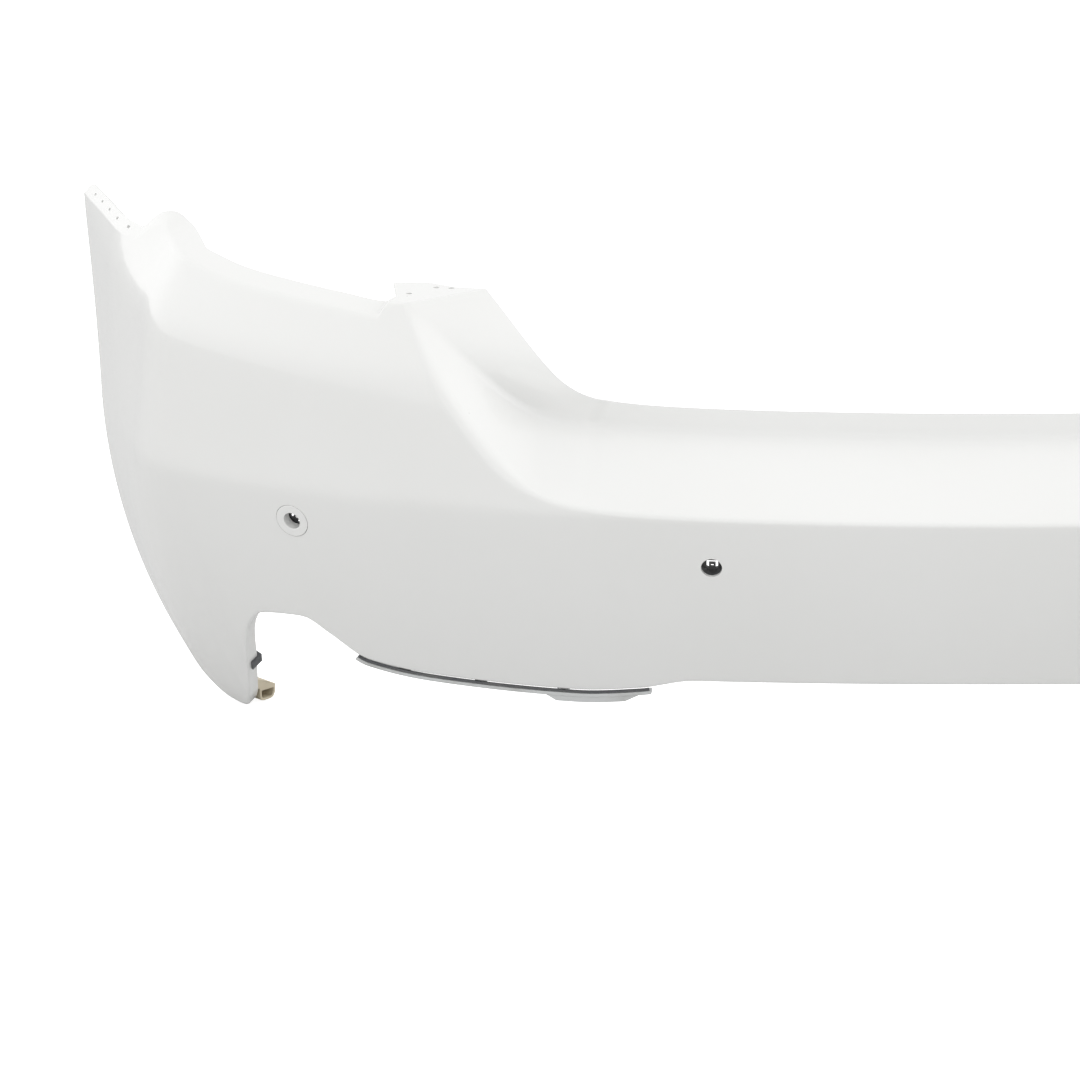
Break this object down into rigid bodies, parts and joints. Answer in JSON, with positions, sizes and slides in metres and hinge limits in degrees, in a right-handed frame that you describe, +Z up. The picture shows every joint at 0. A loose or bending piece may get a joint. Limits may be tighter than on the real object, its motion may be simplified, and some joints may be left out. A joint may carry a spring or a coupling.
{
  "type": "rear bumper cover",
  "caption": "Painted moulded rear bumper cover with wrap-round wings, a tailgate ledge, lamp seats, parking-sensor holders and a hinged tow-eye flap.",
  "frame": {"origin": "centre of the bounding box's base", "axes": "+Z up, +Y the car's driving direction so the painted face looks along -Y, +X to the right seen from behind the car"},
  "size_m": [1.8092, 0.5961, 0.5065],
  "materials": {
    "white_paint": "white paint over plastic, glossy, lightly dusty",
    "dark_plastic": "black moulded plastic, fine grain",
    "grey_plastic": "grey moulded plastic, satin",
    "cream_plastic": "unpainted natural plastic, satin",
    "zinc_steel": "zinc-plated steel"
  },
  "bodies": {
    "cover": {"cover_skin": "white_paint", "sensor_holder_inner_left": "dark_plastic", "sensor_holder_outer_left": "dark_plastic", "sensor_ring_left": "white_paint", "lower_rail_left": "grey_plastic", "rail_clip_left_1": "dark_plastic", "rail_clip_left_2": "dark_plastic", "rail_clip_left_3": "dark_plastic", "leg_clip_left": "dark_plastic", "arch_clip_left_1": "zinc_steel", "arch_clip_left_2": "zinc_steel", "arch_clip_left_3": "zinc_steel", "wing_bracket_left": "cream_plastic", "sensor_holder_inner_right": "dark_plastic", "sensor_holder_outer_right": "dark_plastic", "sensor_ring_right": "white_paint", "lower_rail_right": "grey_plastic", "rail_clip_right_1": "dark_plastic", "rail_clip_right_2": "dark_plastic", "rail_clip_right_3": "dark_plastic", "leg_clip_right": "dark_plastic", "arch_clip_right_1": "zinc_steel", "arch_clip_right_2": "zinc_steel", "arch_clip_right_3": "zinc_steel", "wing_bracket_right": "cream_plastic", "tow_flap_pin": "zinc_steel", "tow_flap_frame": "dark_plastic"},
    "tow_flap": {"tow_flap": "white_paint"}
  },
  "joints": [
    {"name": "tow_flap_hinge", "type": "hinge", "parent": "cover", "child": "tow_flap", "pos_m": [0.42394, -0.24282, 0.22113], "axis": [-0.9789, -0.2041, 0], "range_deg": [0, 80]}
  ]
}
